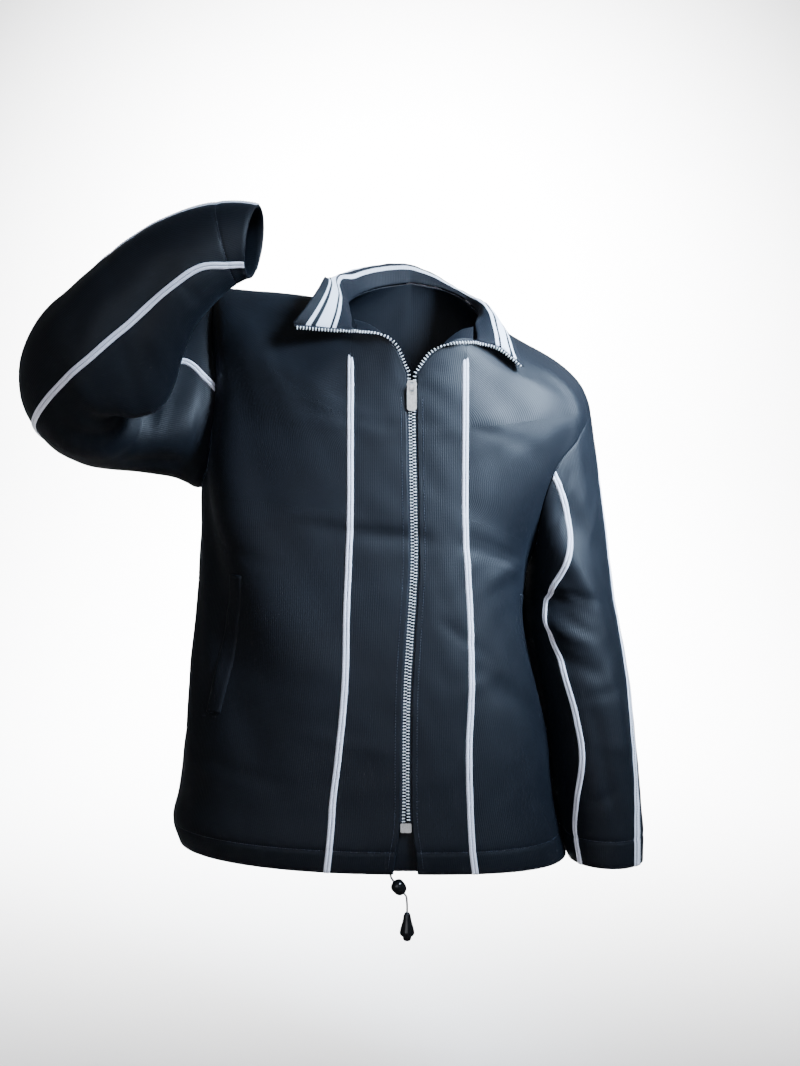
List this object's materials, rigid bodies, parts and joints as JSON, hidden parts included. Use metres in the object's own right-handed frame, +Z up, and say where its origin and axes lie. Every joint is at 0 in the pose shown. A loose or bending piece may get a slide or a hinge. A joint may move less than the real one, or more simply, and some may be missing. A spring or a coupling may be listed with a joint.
{
  "type": "track jacket",
  "caption": "Worn full-zip track jacket with a folded stand collar, contrast piping and striped sleeve tape, left sleeve bent up and right sleeve hanging.",
  "frame": {"origin": "middle of the neckline's base between the shoulders, level with the high points of the shoulders, where the wearer holds the jacket up", "axes": "+Z up, the fronts face -Y, +X towards the hanging sleeve"},
  "size_m": [0.6992, 0.3396, 0.7878],
  "materials": {
    "navy_double_knit": "smooth polyester double knit with a fine vertical rib and a slight sheen",
    "pale_piping": "pale lavender-white knitted piping",
    "sleeve_tape": "pale knitted tape with fine dark lines",
    "zip_tape": "woven polyester tape",
    "zip_teeth": "moulded pale teeth",
    "nickel_plate": "nickel-plated zinc",
    "hem_cord": "thin round black elastic cord",
    "black_plastic": "glossy moulded plastic"
  },
  "bodies": {
    "jacket": {"back": "navy_double_knit", "collar": "navy_double_knit", "facing_left": "navy_double_knit", "facing_right": "navy_double_knit", "front_left_inner": "navy_double_knit", "front_left_outer": "navy_double_knit", "front_right_inner": "navy_double_knit", "front_right_outer": "navy_double_knit", "hem_cord_bell": "black_plastic", "hem_cord_lock": "black_plastic", "hem_cord_lower": "hem_cord", "hem_cord_upper": "hem_cord", "piping_front_left": "pale_piping", "piping_front_right": "pale_piping", "piping_sleeve_left_back": "pale_piping", "piping_sleeve_left_front": "pale_piping", "piping_sleeve_right_back": "pale_piping", "piping_sleeve_right_front": "pale_piping", "pocket_welt_left": "navy_double_knit", "pocket_welt_right": "navy_double_knit", "sleeve_left_under": "navy_double_knit", "sleeve_left_upper": "navy_double_knit", "sleeve_right_under": "navy_double_knit", "sleeve_right_upper": "navy_double_knit", "sleeve_tape_left": "sleeve_tape", "sleeve_tape_right": "sleeve_tape", "zip_box": "nickel_plate", "zip_guard": "navy_double_knit", "zip_slider": "nickel_plate", "zip_tape_left": "zip_tape", "zip_tape_right": "zip_tape", "zip_teeth_left": "zip_teeth", "zip_teeth_right": "zip_teeth"},
    "pull_tab": {"zip_pull_tab": "nickel_plate"}
  },
  "joints": [
    {"name": "pull_tab_hinge", "type": "hinge", "parent": "jacket", "child": "pull_tab", "pos_m": [-0.00152, -0.12212, -0.10855], "axis": [-1, 0, 0], "range_deg": [0, 150]}
  ]
}
